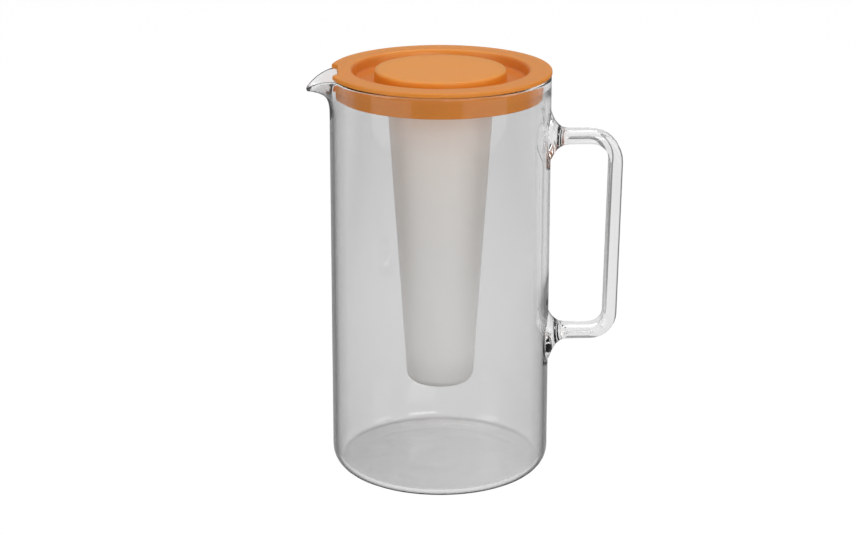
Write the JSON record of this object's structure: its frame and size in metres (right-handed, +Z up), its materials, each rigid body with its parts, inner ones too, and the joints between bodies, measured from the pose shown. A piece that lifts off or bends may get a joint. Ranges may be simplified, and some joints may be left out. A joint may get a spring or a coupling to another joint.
{
  "type": "pitcher with ice core",
  "caption": "Straight-sided glass pitcher with a pulled spout and glass loop handle; a flat plastic lid carries a frosted tapered tube for ice down into the drink.",
  "frame": {"origin": "centre of the glass base, on the surface that the pitcher stands on", "axes": "+Z up the pitcher's axis, -X towards the pouring spout, +X towards the handle, +Y across, completing a right-handed frame"},
  "size_m": [0.1864, 0.1308, 0.246],
  "materials": {
    "clear_glass": "clear polished blown glass",
    "orange_plastic": "satin injection-moulded plastic in warm orange",
    "frosted_plastic": "frosted translucent plastic",
    "seal_silicone": "soft milky silicone"
  },
  "bodies": {
    "jug": {"glass_body": "clear_glass", "handle": "clear_glass"},
    "core": {"core_tube": "frosted_plastic", "core_neck": "frosted_plastic"},
    "seal": {"core_seal": "seal_silicone"},
    "lid": {"lid": "orange_plastic"}
  },
  "joints": [
    {"name": "core_lift", "type": "slide", "parent": "jug", "child": "core", "axis": [0, 0, 1], "range_m": [0, 0.21]},
    {"name": "lid_turn", "type": "hinge", "parent": "core", "child": "seal", "pos_m": [0, 0, 0.242], "axis": [0, 0, 1], "continuous": true},
    {"name": "lid_off_core", "type": "slide", "parent": "seal", "child": "lid", "axis": [0, 0, 1], "range_m": [0, 0.02]}
  ]
}
